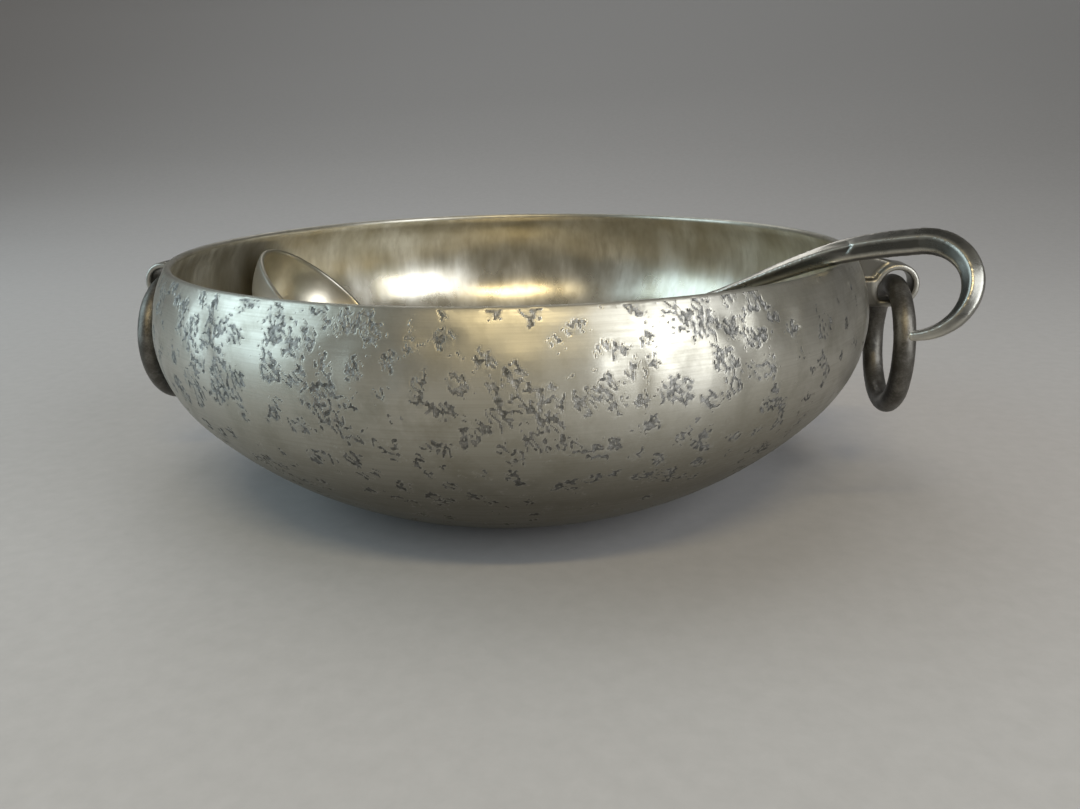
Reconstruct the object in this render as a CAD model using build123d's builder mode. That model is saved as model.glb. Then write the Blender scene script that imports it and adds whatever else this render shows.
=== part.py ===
"""Pewter bowl with two hanging ring handles and a hooked ladle lying in it.

Millimetres, Z up, origin in the middle of the flat foot. The two lugs lie on the X axis.
"""
import os
from math import acos, cos, degrees, radians, sin, sqrt, tan

from build123d import *

os.makedirs("parts", exist_ok=True)

# Clearance left between pieces that only rest on one another.
REST_GAP = 0.3

# Bowl: a flat foot, a wide lower curve and a tighter shoulder turning in to the rim.
FOOT_RADIUS = 68.0
FOOT_ANGLE = 17.1
LOWER_RADIUS = 151.0
LOWER_SWEEP_ANGLE = 32.5
SHOULDER_RADIUS = 47.5
SHOULDER_SWEEP_ANGLE = 72.6
BOWL_WALL = 2.8

# Lugs: a strap curled into an eye, with a web to the shoulder that is narrower above a step.
EYE_STANDOFF = 13.1
EYE_BELOW_RIM = 16.8
EYE_HOLE = 12.6
EYE_WIDENING = 1.0
STRAP = 2.9
LUG_WIDTH = 13.0
LUG_ROUND = 1.0
WEB_STEP = 2.5
WEB_WIDTH = 8.0
WEB_RISE_ANGLE = 14.0

# Rings: round wire, hung through the eyes.
RING_RADIUS = 25.4
RING_WIRE = 9.0

# Ladle cup: part of a ball, at rest on the lower curve and tipped toward the handle.
CUP_RIM_RADIUS = 40.0
CUP_DEPTH = 32.0
CUP_WALL = 2.2
CUP_REST_ANGLE = 48.4
CUP_BEARING_ANGLE = 158.5
CUP_TIP_ANGLE = 44.9
LADLE_LEAN_ANGLE = 30.0

# Ladle handle: from a tongue under the cup's rim, over the bowl's rim, to a hook outside.
HANDLE_BEARING_ANGLE = -28.0
HANDLE_UNDERSIDE = 4.55
JOINT_BELOW_RIM_ANGLE = 14.0
JOINT_SLOPE_ANGLE = -4.0
DIP_FROM_RIM = 31.6
HANDLE_DIP = 9.5
HOOK_RADIUS = 16.5
HOOK_REACH = 27.4
HOOK_DROP = 14.6
HOOK_START_ANGLE = 0.0
HOOK_SWEEP_ANGLE = 186.0

# Half sizes of the six-sided handle section: thickness, width at the side ridges, width of the flats.
TONGUE = (3.0, 8.0, 5.0)
SHANK = (3.2, 4.0, 1.8)
GRIP = (3.4, 3.9, 1.7)
CROWN = (4.2, 4.4, 1.9)
BEND = (3.4, 3.8, 1.6)
TIP = (1.6, 1.9, 0.8)


def angled(angle):
    """Direction in a sketch at an angle in degrees from its x axis."""
    return (cos(radians(angle)), sin(radians(angle)))


with BuildPart() as bowl:
    with BuildSketch(Plane.XZ):
        with BuildLine():
            lower = JernArc((FOOT_RADIUS, 0), angled(FOOT_ANGLE), LOWER_RADIUS, LOWER_SWEEP_ANGLE)
            shoulder = JernArc(lower @ 1, lower % 1, SHOULDER_RADIUS, SHOULDER_SWEEP_ANGLE)
            lip = JernArc(shoulder @ 1, shoulder % 1, BOWL_WALL / 2, 180)
            shoulder_in = JernArc(lip @ 1, lip % 1, SHOULDER_RADIUS - BOWL_WALL, -SHOULDER_SWEEP_ANGLE)
            lower_in = JernArc(shoulder_in @ 1, shoulder_in % 1, LOWER_RADIUS - BOWL_WALL, -LOWER_SWEEP_ANGLE)
            Polyline(lower_in @ 1, (0, (lower_in @ 1).Y), (0, 0), (FOOT_RADIUS, 0))
        make_face()
    revolve(axis=Axis.Z)
bowl.part.label = "bowl"

belly_radius = shoulder.arc_center.X + SHOULDER_RADIUS
rim_radius = lip.arc_center.X
rim_height = lip.arc_center.Y + BOWL_WALL / 2

# The bowl filled to its rim, used to shape what is soldered on the outside.
with BuildPart() as bowl_mass:
    with BuildSketch(Plane.XZ):
        with BuildLine():
            add(lower)
            add(shoulder)
            Polyline(shoulder @ 1, (0, (shoulder @ 1).Y), (0, 0), (FOOT_RADIUS, 0))
        make_face()
    revolve(axis=Axis.Z)

# The web runs on into the shoulder, whose outside then trims it.
eye_reach = belly_radius + EYE_STANDOFF
eye_height = rim_height - EYE_BELOW_RIM
eye_inner = EYE_HOLE / 2
eye_outer = eye_inner + STRAP
web_length = EYE_STANDOFF + SHOULDER_RADIUS
web_top_length = 1.6 * EYE_STANDOFF
with BuildPart() as lug_right:
    with BuildSketch(Plane.XZ):
        with Locations((eye_reach, eye_height)):
            Polygon(
                (0, -eye_outer),
                (0, eye_outer),
                (-web_top_length, eye_outer + web_top_length * tan(radians(WEB_RISE_ANGLE))),
                (-web_top_length, -eye_outer),
                align=None,
            )
    extrude(amount=WEB_WIDTH / 2, both=True)
    with BuildSketch(Plane.XZ):
        with Locations((eye_reach, eye_height)):
            Circle(eye_outer)
            with Locations((-web_length / 2, (WEB_STEP - eye_outer) / 2)):
                Rectangle(web_length, WEB_STEP + eye_outer)
    extrude(amount=LUG_WIDTH / 2, both=True)
    with BuildSketch(Plane.XZ):
        with Locations((eye_reach, eye_height)):
            Circle(eye_inner)
            Polygon(
                (0, 0),
                (-eye_inner / sqrt(2), eye_inner / sqrt(2)),
                (-eye_inner - EYE_WIDENING, 0),
                (-eye_inner - EYE_WIDENING, EYE_WIDENING - eye_inner),
                (-eye_inner, -eye_inner),
                (0, -eye_inner),
                align=None,
            )
    extrude(amount=LUG_WIDTH / 2, both=True, mode=Mode.SUBTRACT)
    outer_faces = lug_right.faces().filter_by(Axis.Y).group_by(Axis.Y)
    fillet((outer_faces[0] + outer_faces[-1]).edges(), LUG_ROUND)
    add(bowl_mass.part, mode=Mode.SUBTRACT)
lug_right.part.label = "lug_right"

with BuildPart() as lug_left:
    mirror(lug_right.part, about=Plane.YZ)
lug_left.part.label = "lug_left"

# The wire bends over the eye, so it rests on the rounded front and back edges of the hole.
ring_inside = RING_RADIUS - RING_WIRE / 2
bearing_half = (LUG_WIDTH - LUG_ROUND) / 2
ring_arch = ring_inside - sqrt(ring_inside**2 - bearing_half**2)
ring_top = eye_height - EYE_HOLE / 2 + REST_GAP + ring_arch + RING_WIRE / 2
with BuildPart() as ring_right:
    with BuildSketch(Plane.XZ):
        with Locations((eye_reach, ring_top)):
            Circle(RING_WIRE / 2)
    revolve(axis=Axis((eye_reach, 0, ring_top - RING_RADIUS), (1, 0, 0)))
ring_right.part.label = "ring_right"

with BuildPart() as ring_left:
    mirror(ring_right.part, about=Plane.YZ)
ring_left.part.label = "ring_left"

# The cup's centre keeps the cup one clearance off the inside of the lower curve.
ball_radius = (CUP_RIM_RADIUS**2 + CUP_DEPTH**2) / (2 * CUP_DEPTH)
cup_offset = LOWER_RADIUS - BOWL_WALL - REST_GAP - ball_radius
cup_out = lower.arc_center.X + cup_offset * sin(radians(CUP_REST_ANGLE))
cup_height = lower.arc_center.Y - cup_offset * cos(radians(CUP_REST_ANGLE))
cup_centre = Vector(cup_out, 0, cup_height).rotate(Axis.Z, CUP_BEARING_ANGLE)

over_rim = Vector(rim_radius, 0, rim_height + REST_GAP + HANDLE_UNDERSIDE).rotate(Axis.Z, HANDLE_BEARING_ANGLE)

# The ladle's own plane: x from the cup's centre to the point over the rim, leaning back off the upright.
reach = over_rim - cup_centre
facing = reach.cross(Vector(0, 0, 1)).normalized().rotate(Axis((0, 0, 0), reach), -LADLE_LEAN_ANGLE)
ladle_plane = Plane(origin=cup_centre, x_dir=reach, z_dir=facing)
cup_across = reach.rotate(Axis((0, 0, 0), facing), -CUP_TIP_ANGLE)
cup_plane = Plane(origin=cup_centre, x_dir=cup_across, z_dir=facing)

cup_spread = degrees(acos((ball_radius - CUP_DEPTH) / ball_radius))
with BuildPart() as ladle_cup:
    with BuildSketch(cup_plane):
        with BuildLine():
            outside = CenterArc((0, 0), ball_radius, -90, cup_spread)
            JernArc(outside @ 1, outside % 1, CUP_WALL / 2, 180)
            CenterArc((0, 0), ball_radius - CUP_WALL, cup_spread - 90, -cup_spread)
            Line((0, CUP_WALL - ball_radius), (0, -ball_radius))
        make_face()
    revolve(axis=Axis(cup_plane.origin, cup_plane.y_dir))
ladle_cup.part.label = "ladle_cup"

# The whole ball, used to shape the end of the handle to the outside of the cup.
with BuildPart() as cup_ball:
    with BuildSketch(cup_plane):
        with BuildLine():
            CenterArc((0, 0), ball_radius, -90, 180)
            Line((0, ball_radius), (0, -ball_radius))
        make_face()
    revolve(axis=Axis(cup_plane.origin, cup_plane.y_dir))

joint_angle = cup_spread - 90 - CUP_TIP_ANGLE - JOINT_BELOW_RIM_ANGLE
joint = Vector(*angled(joint_angle)) * (ball_radius - TONGUE[0])
hook_centre = Vector(reach.length + HOOK_REACH, -HOOK_DROP)
hook_start = hook_centre + Vector(*angled(90 + HOOK_START_ANGLE)) * HOOK_RADIUS
with BuildLine() as side_view:
    shank = Spline(
        joint,
        (reach.length - DIP_FROM_RIM, -HANDLE_DIP),
        (reach.length, 0),
        hook_start,
        tangents=[angled(JOINT_SLOPE_ANGLE), angled(HOOK_START_ANGLE)],
    )
    hook = JernArc(shank @ 1, shank % 1, HOOK_RADIUS, -HOOK_SWEEP_ANGLE)
spine = ladle_plane * side_view.wire()
shank_line = ladle_plane * shank
hook_line = ladle_plane * hook

with BuildPart() as ladle_handle:
    for line, along, (thick, wide, flat) in (
        (shank_line, 0, TONGUE),
        (shank_line, 0.25, SHANK),
        (shank_line, 0.85, GRIP),
        (hook_line, 0.05, CROWN),
        (hook_line, 0.5, BEND),
        (hook_line, 1, TIP),
    ):
        with BuildSketch(Plane(line @ along, facing, line % along)):
            Polygon(
                (wide, 0),
                (flat, thick),
                (-flat, thick),
                (-wide, 0),
                (-flat, -thick),
                (flat, -thick),
                align=None,
            )
    sweep(path=spine, multisection=True)
    add(cup_ball.part, mode=Mode.SUBTRACT)
ladle_handle.part.label = "ladle_handle"

for piece in (bowl, lug_right, lug_left, ring_right, ring_left, ladle_cup, ladle_handle):
    export_step(piece.part, f"parts/{piece.part.label}.step")
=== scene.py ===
"""Looks of the pewter bowl: gouged and brushed outside, planished inside, dark rings and a worn ladle.

Metres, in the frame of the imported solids: Z up, the lugs on the X axis, the viewer toward -Y.
"""
from math import cos, pi, radians, sin

import bmesh
import bpy
import numpy as np
from mathutils import Matrix, Vector, noise
from mathutils.geometry import interpolate_bezier


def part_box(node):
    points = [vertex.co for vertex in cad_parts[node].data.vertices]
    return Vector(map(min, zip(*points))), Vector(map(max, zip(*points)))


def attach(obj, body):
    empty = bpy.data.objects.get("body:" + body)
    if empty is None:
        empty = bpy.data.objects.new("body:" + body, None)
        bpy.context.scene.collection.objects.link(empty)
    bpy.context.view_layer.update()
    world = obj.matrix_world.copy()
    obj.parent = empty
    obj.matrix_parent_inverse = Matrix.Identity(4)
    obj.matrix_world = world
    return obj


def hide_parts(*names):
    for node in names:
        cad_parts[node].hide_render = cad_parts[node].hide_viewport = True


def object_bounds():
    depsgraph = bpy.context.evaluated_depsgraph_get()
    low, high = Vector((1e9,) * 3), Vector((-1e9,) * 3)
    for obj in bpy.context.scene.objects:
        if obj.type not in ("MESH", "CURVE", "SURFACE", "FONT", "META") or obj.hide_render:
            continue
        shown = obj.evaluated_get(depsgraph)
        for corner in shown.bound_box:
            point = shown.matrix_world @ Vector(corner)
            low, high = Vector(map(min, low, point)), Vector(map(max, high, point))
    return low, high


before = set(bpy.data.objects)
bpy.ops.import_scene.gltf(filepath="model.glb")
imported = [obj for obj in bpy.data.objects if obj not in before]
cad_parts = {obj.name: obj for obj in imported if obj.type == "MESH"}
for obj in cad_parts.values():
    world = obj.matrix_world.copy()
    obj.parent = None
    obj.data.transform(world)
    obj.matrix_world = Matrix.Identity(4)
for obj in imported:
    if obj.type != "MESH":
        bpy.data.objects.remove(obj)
solid_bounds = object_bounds()

MM = 0.001

# Bowl section, as in the solid.
FOOT_RADIUS = 68 * MM
FOOT_ANGLE = radians(17.1)
LOWER_RADIUS = 151 * MM
LOWER_SWEEP = radians(32.5)
SHOULDER_RADIUS = 47.5 * MM
SHOULDER_SWEEP = radians(72.6)
BOWL_WALL = 2.8 * MM

# Bowl mesh: cells round it and along each stretch of the section, and the parts, each way, that a
# cell with a gouge in it is divided into.
COLUMNS = 360
FOOT_ROWS = 5
LOWER_ROWS = 34
SHOULDER_ROWS = 24
LIP_ROWS = 4
SHOULDER_IN_ROWS = 16
LOWER_IN_ROWS = 22
CELL_PARTS = 6

# Gouges of the outside: ragged strokes in crowds, with few toward the right-hand lug.
PIT_DEPTH = 0.28 * MM
CROWD_SIZE = 7.6 * MM
CROWD_EDGE_SIZE = 3.6 * MM
CROWD_DRIFT_SIZE = 26 * MM
CLEAR_START = 95 * MM
CLEAR_END = 135 * MM
STROKE_SIZE = 2.1 * MM
STROKE_EDGE_SIZE = 1.1 * MM
STROKE_LEAN = 0.5
STROKE_BEND = 2.0 * MM
STROKE_BEND_SIZE = 14 * MM

# Values of the gouging, which is above 0 in a mark: far from any mark, and where the divided cells
# begin. Where the crowding is under CROWD_REACH, no stroke makes a mark.
NO_MARK = -1.0
MARK_REACH = -0.08
CROWD_REACH = -0.8

# Hammering: dents high on the outside, and waves with finer ripples over the inside.
DENT_DEPTH = 0.8 * MM
DENT_SIZE = 15 * MM
WAVE_DEPTH = 0.9 * MM
WAVE_SIZE = 24 * MM
RIPPLE_SIZE = 11 * MM

# Ladle cup, as in the solid: part of a ball. Its mesh, and the hammered facets on it.
CUP_CENTRE = Vector((-96.34, 37.95, 73.35)) * MM
CUP_AXIS = Vector((0.7052, 0.0589, 0.7065)).normalized()
CUP_RADIUS = 41 * MM
CUP_DEPTH = 32 * MM
CUP_WALL = 2.2 * MM
CUP_POINTS = 40
CUP_LIP_POINTS = 7
CUP_COLUMNS = 144
CUP_LIP_BLEND = 0.2 * MM
FACET_DEPTH = 0.1 * MM
FACET_SIZE = 8 * MM

# Eyes of the lugs, and the rings: their mesh, the wear of the wire and its finer pitting.
EYE_HEIGHT = 86.4 * MM
EYE_RADIUS = 9.2 * MM
EYE_BLEND = 2 * MM
RING_RADIUS = 25.4 * MM
RING_WIRE = 9.0 * MM
RING_COLUMNS = 180
WIRE_POINTS = 29
RING_WEAR = 0.25 * MM
RING_WEAR_SIZE = 9 * MM
RING_PITTING = 0.12 * MM
RING_PITTING_SIZE = 2 * MM

# Ladle handle: its run and its upper side over the rim, and the middle of the hook.
HANDLE_ALONG = np.array([0.8955, -0.4224, 0.1405])
HANDLE_UP = np.array([0.1033, 0.5041, 0.8572])
HOOK_CENTRE = np.array([147.9, -85.3, 99.4]) * MM

# Cut in the handle's near ridge: its pointed end, and how it deepens and runs out to the sides.
CUT_END = np.array([129.1, -71.9, 111.3]) * MM
CUT_DEPTH = 0.35 * MM
CUT_TAPER = 0.8
CUT_END_BLEND = 0.8 * MM
CUT_LENGTH = 14 * MM
CUT_DEEPEST = 1 * MM
CUT_FLAT = 1.6 * MM
CUT_REACH = 3 * MM

# Middle of the ladle's shank: control points of its line, and half sizes of its six-sided section.
SHANK_LINE = [Vector(p) * MM for p in ((-43, -7, 51), (4, -29, 59), (51, -46, 75), (98, -58, 96))]
SHANK_STEPS = 40
SHANK_THICK = 2.3 * MM
SHANK_WIDE = 3.1 * MM
SHANK_FLAT = 1.4 * MM

# Worn copies of the solids: size of the even mesh, rounds of rubbing and depth of the unevenness.
HANDLE_CELL = 0.5 * MM
HANDLE_ROUNDS = 2
HANDLE_UNEVEN = 0.12 * MM
LUG_CELL = 0.4 * MM
LUG_ROUNDS = 12
LUG_UNEVEN = 0.15 * MM
UNEVEN_SIZE = 6 * MM
RIDGE_ROUNDS = 8

# Camera: the photograph's viewpoint. The lens and the sensor's width are in millimetres.
CAMERA_PLACE = Vector((60.91, -382.38, 151.22)) * MM
CAMERA_FORWARD = Vector((-0.1234, 0.9453, -0.3018))
CAMERA_UP = Vector((-0.0215, 0.3015, 0.9532))
CAMERA_LENS = 29.0
CAMERA_SENSOR = 36.0
CAMERA_NEAR = 10 * MM

# Studio: the point that the lamps face, how far the floor lies below the foot, and plain light.
LAMP_AIM = Vector((0, 0, 80)) * MM
FLOOR_DROP = 0.2 * MM
WHITE = (1.0, 1.0, 1.0)


def new_mesh(name, points, faces):
    mesh = bpy.data.meshes.new(name)
    mesh.from_pydata(points, [], faces)
    mesh.shade_smooth()
    return mesh


def linked(name, data):
    """Object for a mesh, a lamp or a camera, put in the scene."""
    obj = bpy.data.objects.new(name, data)
    bpy.context.scene.collection.objects.link(obj)
    return obj


def piece(name, mesh, body, node):
    """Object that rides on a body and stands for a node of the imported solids."""
    obj = linked(name, mesh)
    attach(obj, body)
    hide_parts(node)
    return obj


def point_values(obj, name, values):
    """Stores one number per vertex for a material to read."""
    layer = obj.data.attributes.new(name, "FLOAT", "POINT")
    layer.data.foreach_set("value", np.asarray(values, np.float32))


def smooth_step(low, high, value):
    """0 up to low and 1 from high on, with an eased rise between them."""
    t = np.clip((value - low) / (high - low), 0, 1)
    return t * t * (3 - 2 * t)


def noise_at(points, size, seed, tall=1.0):
    """Soft noise, about -1 to 1, with features of the given size, drawn out upward by tall."""
    shift = Vector((17.3, 5.1, 9.7)) * seed
    scaled = points / np.array([size, size, size * tall])
    return np.array([noise.noise(Vector(p) + shift) for p in scaled])


def facets_at(points, size):
    """Round spots scattered evenly: 0 in the middle of a spot, rising to its edge."""
    return np.array([noise.voronoi(Vector(p))[0][0] for p in points / size])


# Bowl

def section_facing(angle):
    """Direction in the section at an angle from straight down, turning outward."""
    return np.array([sin(angle), -cos(angle)])


def bowl_section():
    """Rows along the section: points, outward normals, and which stretch each row belongs to."""
    turn = FOOT_ANGLE + LOWER_SWEEP
    top = turn + SHOULDER_SWEEP
    lower = np.array([FOOT_RADIUS, 0]) - LOWER_RADIUS * section_facing(FOOT_ANGLE)
    shoulder = lower + (LOWER_RADIUS - SHOULDER_RADIUS) * section_facing(turn)
    lip = shoulder + (SHOULDER_RADIUS - BOWL_WALL / 2) * section_facing(top)
    # Stretch, centre, radius, angles from and to, rows of cells, and which way the metal faces.
    arcs = (
        ("outside", lower, LOWER_RADIUS, FOOT_ANGLE, turn, LOWER_ROWS, 1),
        ("outside", shoulder, SHOULDER_RADIUS, turn, top, SHOULDER_ROWS, 1),
        ("lip", lip, BOWL_WALL / 2, top, top + pi, LIP_ROWS, 1),
        ("inside", shoulder, SHOULDER_RADIUS - BOWL_WALL, top, turn, SHOULDER_IN_ROWS, -1),
        ("inside", lower, LOWER_RADIUS - BOWL_WALL, turn, FOOT_ANGLE, LOWER_IN_ROWS, -1),
    )
    points, normals, stretches = [], [], []
    foot_rows = FOOT_ROWS * CELL_PARTS
    for k in range(foot_rows):
        points.append((FOOT_RADIUS * k / foot_rows, 0))
        normals.append((0, -1))
        stretches.append("foot")
    for stretch, centre, radius, start, end, cells, side in arcs:
        rows = cells * CELL_PARTS
        for k in range(rows):
            outward = section_facing(start + (end - start) * k / rows)
            points.append(centre + radius * outward)
            normals.append(side * outward)
            stretches.append(stretch)
    floor_edge = lower + (LOWER_RADIUS - BOWL_WALL) * section_facing(FOOT_ANGLE)
    for k in range(foot_rows + 1):
        points.append((floor_edge[0] * (1 - k / foot_rows), floor_edge[1]))
        normals.append((0, 1))
        stretches.append("floor")
    return np.array(points), np.array(normals), np.array(stretches)


def spread(coarse, rows, columns):
    """Values known at the corners of the cells of a closed strip, filled in evenly on the fine grid."""
    def between(values, count):
        place = np.arange(count) / CELL_PARTS
        first = np.minimum(place.astype(int), len(values) - 2)
        share = (place - first)[:, None]
        return values[first] * (1 - share) + values[first + 1] * share

    closed = np.concatenate([coarse, coarse[:, :1]], 1)
    return between(between(closed, rows).T, columns).T


def pit_field(points, lip_height):
    """Gouging of the outside: above 0 in a mark. The crowds thin out toward the foot.

    The second result is the crowds alone.
    """
    rows, columns = points.shape[:2]
    corners = points[::CELL_PARTS, ::CELL_PARTS].reshape(-1, 3)
    height = corners[:, 2] / lip_height
    crowd = 0.49 - 2.3 * facets_at(corners, CROWD_SIZE)
    crowd += 0.6 * noise_at(corners, CROWD_EDGE_SIZE, 1, 1.3)
    crowd += 0.25 * noise_at(corners, CROWD_DRIFT_SIZE, 2) + 0.5 * smooth_step(0.2, 0.8, height)
    by_lug = smooth_step(CLEAR_START, CLEAR_END, corners[:, 0])
    crowd -= 0.5 * smooth_step(0.95, 1.0, height) + 0.5 * by_lug
    bend = STROKE_BEND * noise_at(corners, STROKE_BEND_SIZE, 5)
    crowd = spread(crowd.reshape(-1, COLUMNS), rows, columns)
    bend = spread(bend.reshape(-1, COLUMNS), rows, columns)

    field = np.full((rows, columns), NO_MARK)
    busy = crowd > CROWD_REACH
    place = points[busy]
    lean = place.copy()
    lean[:, 0] += STROKE_LEAN * place[:, 2] + bend[busy]
    stroke = 0.36 - 1.75 * np.abs(noise_at(lean, STROKE_SIZE, 3, 1.6))
    stroke += 0.55 * noise_at(place, STROKE_EDGE_SIZE, 4, 1.3)
    field[busy] = stroke + np.minimum(1.3 * crowd[busy], 0.06)
    return field, crowd


def bowl_faces(rows, deep):
    """Polygons as (row, column) corners on the fine grid: cells with a gouge split, others whole."""
    parts = CELL_PARTS
    cell_rows = (rows - 1) // parts
    split = np.zeros((cell_rows, COLUMNS), bool)
    for i in range(parts + 1):
        for j in range(parts + 1):
            corner = deep[i:i + cell_rows * parts:parts]
            split |= np.roll(corner, -j, axis=1)[:, ::parts]
    steps = range(1, parts)
    faces = []
    for r in range(cell_rows):
        for c in range(COLUMNS):
            a, b = r * parts, c * parts
            if split[r, c]:
                for i in range(a, a + parts):
                    for j in range(b, b + parts):
                        faces.append([(i, j), (i, j + 1), (i + 1, j + 1), (i + 1, j)])
                continue
            # A whole cell takes in the points of a split neighbour along their edge.
            below = r > 0 and split[r - 1, c]
            above = r + 1 < cell_rows and split[r + 1, c]
            after = split[r, (c + 1) % COLUMNS]
            before = split[r, c - 1]
            face = [(a, b)] + [(a, b + k) for k in steps if below]
            face += [(a, b + parts)] + [(a + k, b + parts) for k in steps if after]
            face += [(a + parts, b + parts)]
            face += [(a + parts, b + parts - k) for k in steps if above]
            face += [(a + parts, b)] + [(a + parts - k, b) for k in steps if before]
            faces.append(face)
    return faces


def make_bowl():
    """Turned shell, finely divided at its gouges, with its marks stored for the materials."""
    section, facing, stretch = bowl_section()
    rows = len(section)
    around = COLUMNS * CELL_PARTS
    angle = np.arange(around) * 2 * pi / around
    turn = np.stack([np.cos(angle), np.sin(angle)], -1)

    def revolved(values):
        flat = values[:, None, :1] * turn[None]
        return np.concatenate([flat, np.repeat(values[:, None, 1:], around, 1)], -1)

    points, normals = revolved(section), revolved(facing)
    field, crowd = np.full((2, rows, around), NO_MARK)
    outside = np.flatnonzero(stretch == "outside")
    lip_height = section[:, 1].max()
    field[outside], crowd[outside] = pit_field(points[outside], lip_height)

    # Only the corners in use become points. The first and last rows are one point each, on the axis.
    faces = bowl_faces(rows, field > MARK_REACH)
    used = [(a, b % around if 0 < a < rows - 1 else 0) for face in faces for a, b in face]
    used = np.array(used)
    keys, index = np.unique(used[:, 0] * around + used[:, 1], return_inverse=True)
    row, column = keys // around, keys % around
    place, normal, mark = points[row, column], normals[row, column], field[row, column]
    pit = smooth_step(0.0, 0.22, mark)

    sink = PIT_DEPTH * (0.6 * pit + 0.4 * smooth_step(0.1, 0.5, mark))
    on_wall = stretch[row] == "outside"
    height = place[:, 2] / lip_height
    below_lip = 1 - smooth_step(0.9, 0.98, height)
    dents = smooth_step(-0.3, 0.6, noise_at(place[on_wall], DENT_SIZE, 6, 1.4))
    sink[on_wall] += DENT_DEPTH * dents * (smooth_step(0.4, 0.85, height) * below_lip)[on_wall]
    in_bowl = np.isin(stretch[row], ("inside", "floor"))
    waves = 0.7 * noise_at(place[in_bowl], WAVE_SIZE, 7, 1.5)
    waves += 0.3 * noise_at(place[in_bowl], RIPPLE_SIZE, 9, 2.0)
    sink[in_bowl] += WAVE_DEPTH * (0.5 + 0.5 * waves) * below_lip[in_bowl]
    place = place - normal * sink[:, None]

    corners, polygons, start = index.tolist(), [], 0
    for face in faces:
        ids = corners[start:start + len(face)]
        start += len(face)
        polygons.append([v for k, v in enumerate(ids) if v != ids[k - 1]])
    bowl = piece("bowl_pewter", new_mesh("bowl_pewter", place.tolist(), polygons), "bowl", "bowl")
    point_values(bowl, "pit", pit)
    # The band round each gouge where a painted glint goes.
    point_values(bowl, "burr_glint", smooth_step(-0.16, -0.02, mark) - smooth_step(0.0, 0.1, mark))
    point_values(bowl, "patch", smooth_step(-0.2, 0.2, crowd[row, column]))
    point_values(bowl, "inside", in_bowl)
    lined = [all(in_bowl[v] for v in polygon) for polygon in polygons]
    bowl.data.polygons.foreach_set("material_index", np.array(lined, np.int32))
    wall_map(bowl)
    return bowl


def wall_map(obj):
    """UV map: round the bowl along u, with the outside in one half of v and the inside in the other."""
    mesh = obj.data
    corner = np.zeros(len(mesh.loops), np.int32)
    mesh.loops.foreach_get("vertex_index", corner)
    place = np.zeros(len(mesh.vertices) * 3, np.float32)
    mesh.vertices.foreach_get("co", place)
    inside = np.zeros(len(mesh.vertices), np.float32)
    mesh.attributes["inside"].data.foreach_get("value", inside)
    first = np.zeros(len(mesh.polygons), np.int32)
    mesh.polygons.foreach_get("loop_start", first)
    count = np.diff(np.append(first, len(corner)))

    # Faces across the seam run on past a whole turn, and the map is narrowed to take them in.
    x, y, z = place.reshape(-1, 3)[corner].T
    turn = np.arctan2(y, x) / (2 * pi) % 1
    wide = np.maximum.reduceat(turn, first) - np.minimum.reduceat(turn, first) > 0.5
    turn += np.repeat(wide, count) & (turn < 0.5)
    lining = np.repeat(np.maximum.reduceat(inside[corner], first), count)
    along = (np.hypot(x, y) + z) / (solid_bounds[1].x + solid_bounds[1].z)
    layer = mesh.uv_layers.new(name="wall")
    layer.data.foreach_set("uv", np.stack([turn / 1.01, 0.49 * along + 0.5 * lining], -1).ravel())


# Ladle, rings and lugs

def revolve_grid(profile, columns, place):
    """Points and quads of a profile of (radius, height) turned about its axis and put in place."""
    angles = np.arange(columns) * 2 * pi / columns
    points = [place @ Vector((r * cos(a), r * sin(a), h)) for r, h in profile for a in angles]
    faces = []
    for i in range(len(profile) - 1):
        low, high = i * columns, (i + 1) * columns
        for j in range(columns):
            k = (j + 1) % columns
            faces.append((low + j, low + k, high + k, high + j))
    return points, faces


def joined(obj):
    """Merges the doubled points where a turned profile meets its axis or closes on itself."""
    work = bmesh.new()
    work.from_mesh(obj.data)
    bmesh.ops.remove_doubles(work, verts=work.verts, dist=0.001 * MM)
    bmesh.ops.recalc_face_normals(work, faces=work.faces)
    work.to_mesh(obj.data)
    work.free()
    obj.data.shade_smooth()


def mesh_points(mesh):
    flat = np.zeros(len(mesh.vertices) * 3)
    mesh.vertices.foreach_get("co", flat)
    return flat.reshape(-1, 3)


def mesh_normals(mesh):
    flat = np.zeros(len(mesh.vertices) * 3, np.float32)
    mesh.vertex_normals.foreach_get("vector", flat)
    return flat.reshape(-1, 3).astype(float)


def sunk(obj, depth):
    """Moves each point into the metal by its own depth."""
    moved = mesh_points(obj.data) - mesh_normals(obj.data) * np.asarray(depth)[:, None]
    obj.data.vertices.foreach_set("co", moved.ravel())
    obj.data.update()


def evened(mesh, points, rounds):
    """Points after several rounds of moving each to the middle of its neighbours."""
    edges = np.zeros(len(mesh.edges) * 2, np.int32)
    mesh.edges.foreach_get("vertices", edges)
    a, b = edges.reshape(-1, 2).T
    count = np.bincount(edges, minlength=len(points))[:, None]
    for _ in range(rounds):
        total = np.zeros_like(points)
        np.add.at(total, a, points[b])
        np.add.at(total, b, points[a])
        points = total / count
    return points


def cut_depth(points):
    """Shallow cut along the handle's near ridge that deepens toward its pointed end."""
    away = points - CUT_END
    along = away @ HANDLE_ALONG
    aside = np.linalg.norm(away - along[:, None] * HANDLE_ALONG, axis=1)
    end = smooth_step(0, CUT_END_BLEND, -along - CUT_TAPER * aside)
    run = smooth_step(-CUT_LENGTH, -CUT_DEEPEST, along)
    return CUT_DEPTH * end * run * (1 - smooth_step(CUT_FLAT, CUT_REACH, aside))


def painted_shade_side(mesh):
    """How far each point of the handle faces down along the shank, or in to the middle of the hook:
    where painted shade goes.
    """
    away = HOOK_CENTRE - mesh_points(mesh)
    inward = away / np.linalg.norm(away, axis=1)[:, None]
    inward[away @ HANDLE_ALONG > 0] = -HANDLE_UP
    return smooth_step(0.0, 0.5, (inward * mesh_normals(mesh)).sum(1))


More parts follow.
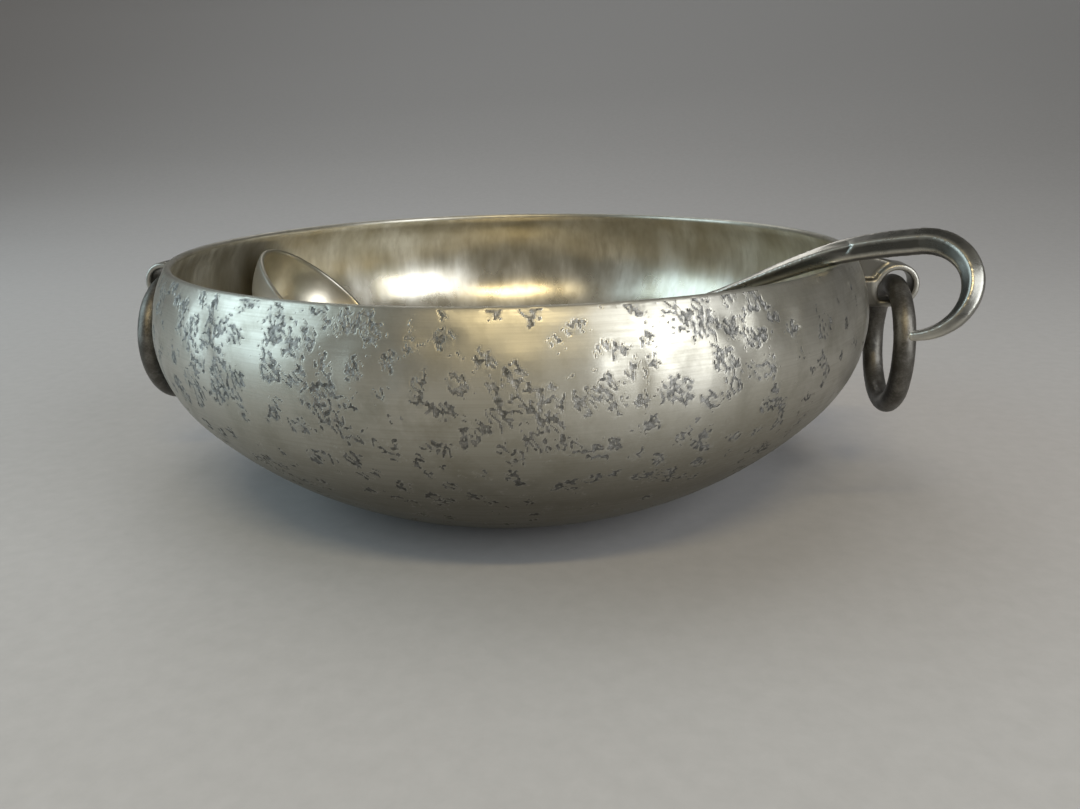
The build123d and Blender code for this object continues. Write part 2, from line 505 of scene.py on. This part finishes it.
def fill_shank(mesh):
    """Adds a closed six-sided bar along the middle of the shank, where the solid is too thin."""
    side = np.cross(HANDLE_ALONG, HANDLE_UP)
    thick, wide, flat = SHANK_THICK, SHANK_WIDE, SHANK_FLAT
    section = ((wide, 0), (flat, thick), (-flat, thick), (-wide, 0), (-flat, -thick), (flat, -thick))
    line = np.array(interpolate_bezier(*SHANK_LINE, SHANK_STEPS))
    rise = np.cross(side, np.gradient(line, axis=0))
    rise /= np.linalg.norm(rise, axis=1)[:, None]
    work = bmesh.new()
    work.from_mesh(mesh)
    rings = [[work.verts.new(p + x * side + y * up) for x, y in section] for p, up in zip(line, rise)]
    for first, second in zip(rings, rings[1:]):
        for k in range(len(section)):
            work.faces.new((first[k - 1], first[k], second[k], second[k - 1]))
    work.faces.new(rings[0][::-1])
    work.faces.new(rings[-1])
    work.to_mesh(mesh)
    work.free()


def worn_copy(node, name, body, cell, rounds, uneven, fill=None):
    """Even mesh of a solid with its edges rubbed round and its faces a little uneven.

    Each point keeps how far it stands out from those round it, as its ridge.
    """
    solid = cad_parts[node].data.copy()
    if fill:
        fill(solid)
    source = linked(name + "_source", solid)
    remesh = source.modifiers.new("even", "REMESH")
    remesh.mode = "VOXEL"
    remesh.voxel_size = cell
    shape = source.evaluated_get(bpy.context.evaluated_depsgraph_get())
    mesh = bpy.data.meshes.new_from_object(shape)
    bpy.data.objects.remove(source)
    points = evened(mesh, mesh_points(mesh), rounds)
    mesh.vertices.foreach_set("co", points.ravel())
    mesh.update()
    mesh.materials.clear()
    mesh.shade_smooth()
    obj = piece(name, mesh, body, node)
    sunk(obj, uneven * (0.5 + 0.5 * noise_at(points, UNEVEN_SIZE, 8)) + cut_depth(points))
    points = mesh_points(mesh)
    stands_out = ((points - evened(mesh, points, RIDGE_ROUNDS)) * mesh_normals(mesh)).sum(1)
    point_values(obj, "ridge", stands_out / cell)
    return obj


def make_cup():
    """Part of a ball with a rounded lip, lightly faceted by the hammer."""
    opening = np.arccos((CUP_RADIUS - CUP_DEPTH) / CUP_RADIUS)
    edge, half_wall, inner = CUP_RADIUS - CUP_WALL / 2, CUP_WALL / 2, CUP_RADIUS - CUP_WALL
    rising = np.linspace(0, opening, CUP_POINTS)
    profile = [(CUP_RADIUS * sin(a), -CUP_RADIUS * cos(a)) for a in rising]
    for turn in np.linspace(0, pi, CUP_LIP_POINTS)[1:-1]:
        a = opening + turn
        out = edge * sin(opening) + half_wall * sin(a)
        profile.append((out, -edge * cos(opening) - half_wall * cos(a)))
    profile += [(inner * sin(a), -inner * cos(a)) for a in np.linspace(opening, 0, CUP_POINTS)]
    place = Matrix.Translation(CUP_CENTRE) @ CUP_AXIS.to_track_quat("Z", "Y").to_matrix().to_4x4()
    name = "ladle_cup_pewter"
    mesh = new_mesh(name, *revolve_grid(profile, CUP_COLUMNS, place))
    cup = piece(name, mesh, "ladle", "ladle_cup")
    joined(cup)
    points = mesh_points(cup.data)
    away = points - np.array(CUP_CENTRE)
    sunk(cup, FACET_DEPTH * (1 - facets_at(points, FACET_SIZE)))
    above_edge = away @ np.array(CUP_AXIS) + edge * cos(opening)
    point_values(cup, "lip", smooth_step(-CUP_LIP_BLEND, CUP_LIP_BLEND, above_edge))
    point_values(cup, "inside", np.linalg.norm(away, axis=1) < edge)
    return cup


def make_ring(side):
    """Ring of round wire, rubbed a little thinner here and there."""
    node = "ring_" + side
    low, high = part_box(node)
    wire = RING_WIRE / 2
    turns = np.linspace(0, 2 * pi, WIRE_POINTS)
    profile = [(RING_RADIUS + wire * cos(a), wire * sin(a)) for a in turns]
    place = Matrix.Translation((low + high) / 2) @ Matrix.Rotation(pi / 2, 4, "Y")
    name = node + "_wire"
    ring = piece(name, new_mesh(name, *revolve_grid(profile, RING_COLUMNS, place)), node, node)
    joined(ring)
    points = mesh_points(ring.data)
    worn = RING_WEAR * (0.5 + 0.5 * noise_at(points, RING_WEAR_SIZE, 11))
    sunk(ring, worn + RING_PITTING * np.abs(noise_at(points, RING_PITTING_SIZE, 12)))
    return ring


def near_eye(mesh, side):
    """1 on the curl of a lug, falling to 0 on the web between it and the bowl."""
    low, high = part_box("ring_" + side)
    away = mesh_points(mesh) - np.array([(low.x + high.x) / 2, 0, EYE_HEIGHT])
    return 1 - smooth_step(EYE_RADIUS, EYE_RADIUS + EYE_BLEND, np.hypot(away[:, 0], away[:, 2]))


# Materials

class Nodes:
    """A material's node tree with short ways to add and join nodes."""

    def __init__(self, name):
        self.material = bpy.data.materials.new(name)
        self.material.use_nodes = True
        self.tree = self.material.node_tree
        self.shader = self.tree.nodes["Principled BSDF"]

    def add(self, kind, inputs=None, **settings):
        node = self.tree.nodes.new("ShaderNode" + kind)
        for key, value in settings.items():
            setattr(node, key, value)
        for key, value in (inputs or {}).items():
            self.put(node.inputs[key], value)
        return node

    def put(self, socket, value):
        """Joins a socket to another node's output, or gives it a constant."""
        if isinstance(value, bpy.types.NodeSocket):
            self.tree.links.new(value, socket)
        else:
            socket.default_value = value

    def set(self, **values):
        """Sets inputs of the shader, named with underscores for spaces."""
        for key, value in values.items():
            self.put(self.shader.inputs[key.replace("_", " ")], value)

    def attribute(self, name):
        return self.add("Attribute", attribute_name=name).outputs["Fac"]

    def place(self, scale=(1, 1, 1)):
        """The place on the piece, in metres times the scale."""
        source = self.add("TexCoord").outputs["Object"]
        return self.add("Mapping", {"Vector": source, "Scale": scale}).outputs[0]

    def along(self, axis, vector):
        return self.add("SeparateXYZ", {"Vector": vector}).outputs[axis]

    def noise(self, scale, vector, detail, rough):
        inputs = {"Vector": vector, "Scale": scale, "Detail": detail, "Roughness": rough}
        return self.add("TexNoise", inputs).outputs["Fac"]

    def ramp(self, value, low, high, out_low=0.0, out_high=1.0):
        inputs = {"Value": value, "From Min": low, "From Max": high}
        inputs.update({"To Min": out_low, "To Max": out_high})
        return self.add("MapRange", inputs).outputs[0]

    def mix(self, share, first, second):
        """Mixes two colours, whose sockets come after the node's sockets for numbers and vectors."""
        node = self.add("Mix", data_type="RGBA")
        self.put(node.inputs["Factor"], share)
        self.put(node.inputs[6], first)
        self.put(node.inputs[7], second)
        return node.outputs[2]

    def math(self, operation, first, second):
        node = self.add("Math", operation=operation)
        self.put(node.inputs[0], first)
        self.put(node.inputs[1], second)
        return node.outputs[0]

    def times(self, first, second):
        return self.math("MULTIPLY", first, second)

    def plus(self, first, second):
        return self.math("ADD", first, second)

    def bump(self, height, distance, strength, normal=None):
        node = self.add("Bump", {"Height": height, "Distance": distance, "Strength": strength})
        if normal is not None:
            self.put(node.inputs["Normal"], normal)
        return node.outputs[0]


def pewter_bowl():
    """Grey pewter outside: level brushing, stains, torn gouges with painted glints, painted shade at
    the foot.
    """
    m = Nodes("bowl_pewter")
    grey, pale = (0.55, 0.53, 0.455, 1), (0.64, 0.622, 0.555, 1)
    streaked, stained = (0.38, 0.36, 0.30, 1), (0.34, 0.32, 0.255, 1)
    # The last colour here is a painted glint for the edges of the gouges.
    scuffed, painted_glint = (0.30, 0.295, 0.275, 1), (0.72, 0.71, 0.68, 1)
    torn_dark, torn_pale = (0.15, 0.149, 0.14, 1), (0.43, 0.425, 0.405, 1)
    # The last two colours are painted shade for the low wall and for its gouges.
    foot, painted_shade_torn = (0.125, 0.115, 0.09, 1), (0.06, 0.057, 0.05, 1)

    pit, burr_glint, patch = m.attribute("pit"), m.attribute("burr_glint"), m.attribute("patch")
    solid = m.place()
    streaks = m.noise(1.0, m.place((30, 30, 1600)), 4.0, 0.6)
    cloud = m.noise(28.0, solid, 4.0, 0.55)
    stain = m.ramp(m.noise(85.0, solid, 5.0, 0.65), 0.46, 0.68)
    grit = m.noise(900.0, solid, 3.0, 0.6)
    torn = m.noise(520.0, solid, 4.0, 0.65)
    # Painted shade: darker toward the foot, standing in for the shadowed floor that the low wall
    # reflects.
    low = m.ramp(m.along("Z", solid), 83 * MM, 34 * MM, 0.0, 0.95)

    wall = m.mix(m.ramp(cloud, 0.35, 0.7), grey, pale)
    wall = m.mix(m.ramp(streaks, 0.4, 0.75, 0.0, 0.3), wall, streaked)
    wall = m.mix(m.times(stain, 0.5), wall, stained)
    wall = m.mix(low, wall, foot)
    wall = m.mix(m.times(patch, m.ramp(torn, 0.4, 0.65, 0.0, 0.6)), wall, scuffed)
    # Painted highlight: a faint glint along the edges of the gouges.
    wall = m.mix(m.times(burr_glint, 0.16), wall, painted_glint)
    # In the gouges too, the colour turns to painted shade toward the foot.
    gouged = m.mix(low, m.mix(m.ramp(torn, 0.38, 0.62), torn_dark, torn_pale), painted_shade_torn)
    m.set(Base_Color=m.mix(m.ramp(pit, 0.3, 0.6), wall, gouged), Metallic=1.0)
    m.set(Anisotropic=0.6, Anisotropic_Rotation=0.25)
    brushed = m.plus(m.ramp(streaks, 0.3, 0.8, 0.36, 0.48), m.times(patch, 0.06))
    brushed = m.plus(brushed, m.times(stain, 0.06))
    m.set(Roughness=m.plus(brushed, m.times(pit, 0.12)))
    fine = m.bump(streaks, 0.03 * MM, 0.5)
    rough = m.times(grit, m.plus(pit, m.times(patch, 0.25)))
    m.set(Normal=m.bump(rough, 0.4 * MM, 0.7, fine))
    return m.material


def pewter_lining():
    """Polished pewter inside, with brown upright smears, duller toward the lip."""
    m = Nodes("bowl_lining")
    brown, pale, fleck = (0.46, 0.42, 0.32, 1), (0.74, 0.72, 0.65, 1), (0.40, 0.365, 0.28, 1)
    smear = m.noise(1.0, m.place((60, 60, 30)), 3.0, 0.55)
    fine = m.noise(1.0, m.place((260, 260, 60)), 3.0, 0.6)
    skin = m.mix(m.ramp(smear, 0.3, 0.7), brown, pale)
    skin = m.mix(m.ramp(fine, 0.45, 0.7, 0.0, 0.4), skin, fleck)
    m.set(Base_Color=skin, Metallic=0.92)
    dulled = m.ramp(m.along("Z", m.place()), 65 * MM, 90 * MM, 0.0, 0.12)
    m.set(Roughness=m.plus(m.ramp(smear, 0.3, 0.7, 0.24, 0.33), dulled))
    m.set(Normal=m.bump(fine, 0.04 * MM, 0.5))
    return m.material


def pewter_ladle():
    """Rubbed pewter: bright on the ridges and the shank, dark grey over the rim, painted shade darkest
    underneath.
    """
    m = Nodes("ladle_pewter")
    # The third colour is painted shade for the underside and the inside of the hook.
    dark, grey, painted_shade = (0.13, 0.13, 0.118, 1), (0.27, 0.265, 0.24, 1), (0.075, 0.073, 0.065, 1)
    rubbed, polished = (0.64, 0.62, 0.55, 1), (0.66, 0.64, 0.57, 1)
    ridge, inner = m.attribute("ridge"), m.attribute("inner")
    solid = m.place()
    out = m.along("X", solid)
    cloud = m.noise(60.0, solid, 5.0, 0.6)
    grit = m.noise(1400.0, solid, 2.0, 0.6)
    scratch = m.noise(1.0, m.place((90, 700, 900)), 4.0, 0.7)
    on_bend = m.ramp(out, 157 * MM, 166 * MM, 0.0, 0.15)
    on_shank = m.ramp(out, 130 * MM, 122 * MM, 0.0, 0.75)
    flat = m.mix(m.ramp(cloud, 0.35, 0.65), dark, grey)
    flat = m.mix(m.math("MAXIMUM", on_bend, on_shank), flat, rubbed)
    # Painted shade on the underside of the shank and the inner side of the hook.
    flat = m.mix(m.times(inner, 0.85), flat, painted_shade)
    bright = m.times(m.ramp(ridge, 0.08, 0.45), m.ramp(out, 150 * MM, 162 * MM, 1.0, 0.3))
    m.set(Base_Color=m.mix(bright, flat, polished), Metallic=1.0)
    m.set(Roughness=m.ramp(m.plus(cloud, m.times(scratch, 0.6)), 0.5, 1.1, 0.23, 0.36))
    m.set(Normal=m.bump(m.plus(scratch, m.times(grit, 0.4)), 0.05 * MM, 0.5))
    return m.material


def pewter_cup():
    """The ladle's cup: satin outside, its pale colour partly a painted reflection, browner and smoother
    inside, with a darker lip.
    """
    m = Nodes("cup_pewter")
    pale, paler_painted_sheen = (0.72, 0.73, 0.72, 1), (0.80, 0.81, 0.80, 1)
    brown, tan = (0.50, 0.465, 0.37, 1), (0.62, 0.58, 0.48, 1)
    worn_lip = (0.42, 0.40, 0.34, 1)
    inside, lip = m.attribute("inside"), m.attribute("lip")
    solid = m.place()
    cloud = m.noise(55.0, solid, 5.0, 0.6)
    scratch = m.noise(700.0, solid, 3.0, 0.6)
    clouded = m.ramp(cloud, 0.35, 0.65)
    # Painted reflection: the outside's pale colours lift the metal's own grey to stand in for a bright
    # reflection.
    skin = m.mix(inside, m.mix(clouded, pale, paler_painted_sheen), m.mix(clouded, brown, tan))
    m.set(Base_Color=m.mix(lip, skin, worn_lip), Metallic=1.0)
    m.set(Roughness=m.ramp(m.plus(cloud, inside), 0.3, 1.7, 0.46, 0.3))
    m.set(Normal=m.bump(scratch, 0.03 * MM, 0.5))
    return m.material


def pewter_lug():
    """Satin pewter, rubbed bright round the eye and dark toward the bowl."""
    m = Nodes("lug_pewter")
    dark, rubbed = (0.17, 0.162, 0.142, 1), (0.45, 0.435, 0.39, 1)
    ridge, eye = m.attribute("ridge"), m.attribute("eye")
    solid = m.place()
    cloud = m.noise(110.0, solid, 5.0, 0.6)
    grit = m.noise(1200.0, solid, 3.0, 0.6)
    worn = m.times(m.plus(m.ramp(ridge, 0.0, 1.0, 0.4, 0.6), cloud), eye)
    m.set(Base_Color=m.mix(m.ramp(worn, 0.1, 1.1), dark, rubbed), Metallic=1.0)
    m.set(Roughness=m.ramp(cloud, 0.3, 0.7, 0.3, 0.44), Normal=m.bump(grit, 0.08 * MM, 0.6))
    return m.material


def dark_ring():
    """Dark metal with a rough skin, rubbed grey in places."""
    m = Nodes("ring_metal")
    dark, grey = (0.115, 0.108, 0.095, 1), (0.25, 0.24, 0.22, 1)
    solid = m.place()
    cloud = m.noise(120.0, solid, 5.0, 0.62)
    grit = m.noise(1100.0, solid, 4.0, 0.65)
    rubbed = m.ramp(m.plus(cloud, m.times(grit, 0.6)), 0.7, 1.05)
    m.set(Base_Color=m.mix(rubbed, dark, grey), Metallic=1.0)
    m.set(Roughness=m.ramp(grit, 0.3, 0.7, 0.36, 0.55), Normal=m.bump(grit, 0.15 * MM, 0.7))
    return m.material


def pale_paper():
    """Grey paper with a faint grain, with painted light making it paler higher up."""
    m = Nodes("pale_paper")
    grey, light, high = (0.40, 0.392, 0.389, 1), (0.43, 0.422, 0.419, 1), (0.54, 0.535, 0.54, 1)
    solid = m.place()
    paper = m.mix(m.ramp(m.noise(140.0, solid, 5.0, 0.6), 0.3, 0.7), grey, light)
    # Painted light: the paper turns paler higher up, as though more light fell on the upper backdrop.
    m.set(Base_Color=m.mix(m.ramp(m.along("Z", solid), 0.1, 0.5), paper, high), Roughness=0.8)
    return m.material


# Studio

def make_camera():
    data = bpy.data.cameras.new("camera")
    data.lens = CAMERA_LENS
    data.sensor_width = CAMERA_SENSOR
    data.clip_start = CAMERA_NEAR
    back = -CAMERA_FORWARD.normalized()
    right = CAMERA_UP.cross(back).normalized()
    turned = Matrix((right, back.cross(right), back)).transposed().to_4x4()
    camera = linked("camera", data)
    camera.matrix_world = Matrix.Translation(CAMERA_PLACE) @ turned
    bpy.context.scene.camera = camera


def soft_light(name, azimuth, elevation, distance, size, power, colour):
    """Area light facing the bowl, at an azimuth in degrees from the viewer's side and an elevation."""
    data = bpy.data.lights.new(name, "AREA")
    data.shape = "RECTANGLE"
    data.size, data.size_y = size
    data.energy = power
    data.color = colour
    a, e = radians(azimuth), radians(elevation)
    toward = Vector((sin(a) * cos(e), -cos(a) * cos(e), sin(e)))
    light = linked(name, data)
    light.location = LAMP_AIM + toward * distance
    light.rotation_euler = toward.to_track_quat("Z", "Y").to_euler()
    return light


def make_sweep():
    """Pale floor curving up into a backdrop."""
    half, front, back, bend, top = 4.0, -3.0, 0.6, 3.2, 4.0
    line = [(front, 0), (back, 0)]
    line += [(back + bend * sin(a), bend - bend * cos(a)) for a in np.linspace(0.08, pi / 2, 16)]
    line.append((back + bend, top))
    points = [(x, y, z - FLOOR_DROP) for y, z in line for x in (-half, half)]
    faces = [(2 * k, 2 * k + 1, 2 * k + 3, 2 * k + 2) for k in range(len(line) - 1)]
    sweep = linked("sweep", new_mesh("sweep", points, faces))
    sweep.data.materials.append(pale_paper())


def make_studio():
    make_camera()
    make_sweep()
    # Azimuth, elevation, distance, width and height, power in watts, and colour.
    ceiling = soft_light("ceiling", -125, 72, 1.8, (1.8, 1.8), 11.4, WHITE)
    ceiling.visible_glossy = False
    soft_light("window_left", -76, 24, 1.5, (1.1, 1.15), 9.6, (0.7, 0.9, 1.0))
    soft_light("lamp_right", 53, 21, 1.4, (0.75, 1.1), 11.8, (0.94, 0.97, 1.0))
    soft_light("lamp_warm", 9, 46, 1.3, (0.55, 0.05), 4.2, (1.0, 0.82, 0.48))
    soft_light("lamp_back", -163, 43, 1.4, (0.8, 0.3), 1.7, WHITE)
    world = bpy.data.worlds.new("room")
    world.use_nodes = True
    background = world.node_tree.nodes["Background"]
    background.inputs["Color"].default_value = (0.18, 0.176, 0.167, 1)
    background.inputs["Strength"].default_value = 1.0
    scene = bpy.context.scene
    scene.world = world
    scene.view_settings.view_transform = "Standard"


def finished(obj, material):
    """Gives a piece its material."""
    obj.data.materials.append(material)


ladle_metal = pewter_ladle()
lug_metal = pewter_lug()
ring_metal = dark_ring()
bowl = make_bowl()
finished(bowl, pewter_bowl())
bowl.data.materials.append(pewter_lining())
finished(make_cup(), pewter_cup())
handle = worn_copy("ladle_handle", "ladle_handle_pewter", "ladle",
                   HANDLE_CELL, HANDLE_ROUNDS, HANDLE_UNEVEN, fill_shank)
# The inner attribute carries the handle's painted shade, underneath and inside the hook.
point_values(handle, "inner", painted_shade_side(handle.data))
finished(handle, ladle_metal)
for side in ("right", "left"):
    lug = worn_copy("lug_" + side, "lug_" + side + "_strap", "bowl", LUG_CELL, LUG_ROUNDS, LUG_UNEVEN)
    point_values(lug, "eye", near_eye(lug.data, side))
    finished(lug, lug_metal)
    finished(make_ring(side), ring_metal)
make_studio()
